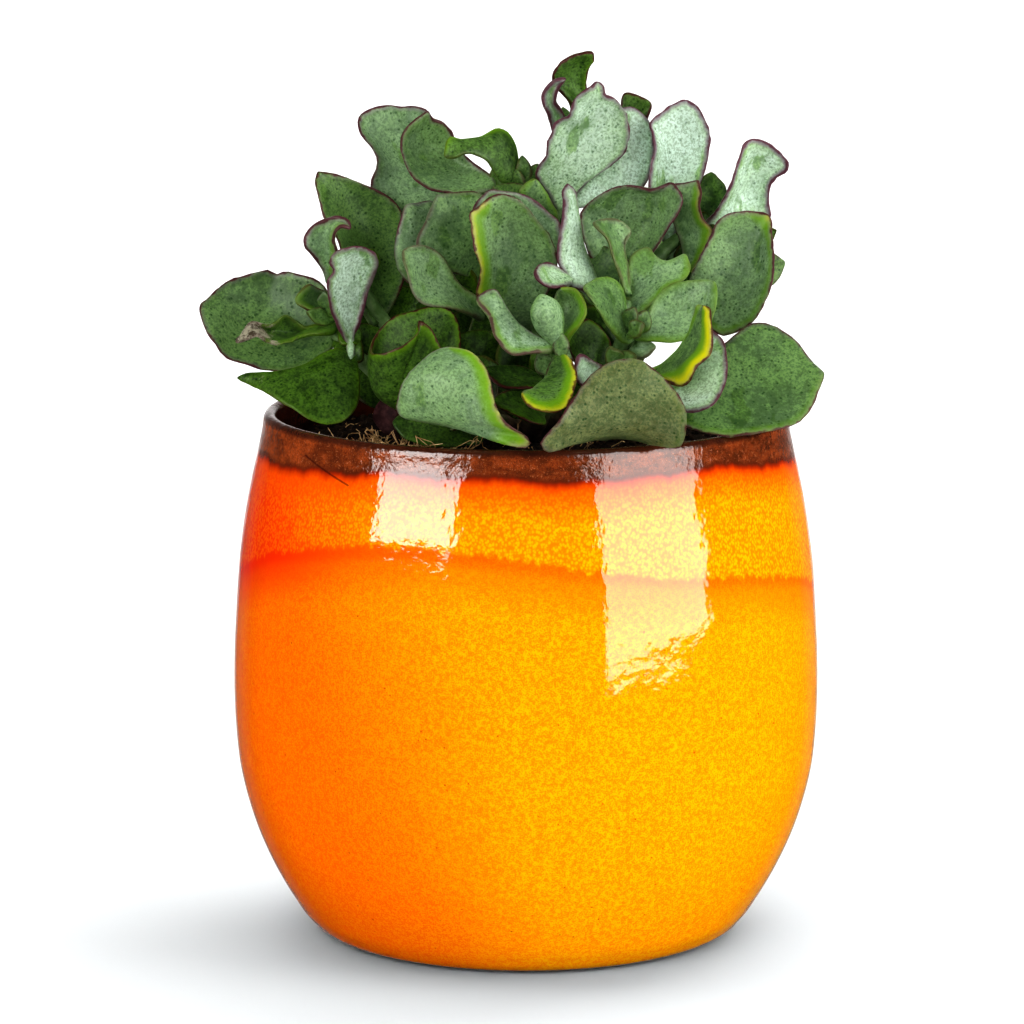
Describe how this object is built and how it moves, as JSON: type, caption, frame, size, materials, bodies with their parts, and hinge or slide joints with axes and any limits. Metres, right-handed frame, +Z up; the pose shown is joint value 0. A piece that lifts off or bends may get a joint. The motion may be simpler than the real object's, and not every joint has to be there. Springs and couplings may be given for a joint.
{
  "type": "potted curly jade plant",
  "caption": "Bushy succulent with wavy-edged grey-green leaves on branched stems, growing in a round-bellied glazed ceramic pot.",
  "frame": {"origin": "middle of the pot's flat base, where it stands", "axes": "+Z up, along the pot's axis; -Y towards the front, from where the picture is taken; +X to the right as seen from the front"},
  "size_m": [0.185, 0.1791, 0.2647],
  "materials": {
    "glaze": "glossy orange glaze with a brown rim band",
    "growing_mix": "dark crumbly peat mix with coir fibres",
    "stem": "smooth green skin, brown and corky low down",
    "leaf": "waxy grey-green bloom with fine dark dots and a thin purple edge"
  },
  "bodies": {
    "root": {"leaf_back_left_low": "leaf", "leaf_back_left_tall": "leaf", "leaf_back_low_right": "leaf", "leaf_back_middle_left": "leaf", "leaf_back_middle_low": "leaf", "leaf_back_middle_top": "leaf", "leaf_back_right_high": "leaf", "leaf_back_right_low": "leaf", "leaf_back_right_tall": "leaf", "leaf_back_top_left": "leaf", "leaf_back_top_middle": "leaf", "leaf_centre_big": "leaf", "leaf_centre_bright": "leaf", "leaf_centre_curly": "leaf", "leaf_centre_dark": "leaf", "leaf_centre_lip": "leaf", "leaf_centre_small": "leaf", "leaf_centre_tall": "leaf", "leaf_front_left_pale": "leaf", "leaf_front_left_rolled": "leaf", "leaf_front_left_under": "leaf", "leaf_front_right_d": "leaf", "leaf_front_right_pale_tip": "leaf", "leaf_front_shade_lower": "leaf", "leaf_front_shade_upper": "leaf", "leaf_left_big": "leaf", "leaf_left_centre_pale": "leaf", "leaf_left_saddle": "leaf", "leaf_left_upright": "leaf", "leaf_left_withered": "leaf", "leaf_left_young": "leaf", "leaf_middle_shade": "leaf", "leaf_right_big_round": "leaf", "leaf_right_low_big": "leaf", "leaf_right_pale": "leaf", "leaf_right_shoot_broad": "leaf", "leaf_right_shoot_hood": "leaf", "leaf_right_shoot_wavy": "leaf", "leaf_right_yellow": "leaf", "leaf_rosette_oval": "leaf", "leaf_rosette_partner": "leaf", "leaf_rosette_wavy": "leaf", "leaf_rosette_yellow": "leaf", "leaf_top_behind": "leaf", "leaf_top_curl": "leaf", "leaf_top_dark": "leaf", "leaf_top_left_arched": "leaf", "leaf_top_left_behind": "leaf", "leaf_top_left_broad": "leaf", "leaf_top_left_round": "leaf", "leaf_top_left_tall": "leaf", "leaf_top_pale": "leaf", "leaf_top_right_narrow": "leaf", "leaf_top_right_round": "leaf", "leaf_top_right_tall": "leaf", "leaf_upper_left_curly": "leaf", "leaf_upper_left_dark": "leaf", "pot": "glaze", "soil": "growing_mix", "stems": "stem"}
  },
  "joints": []
}
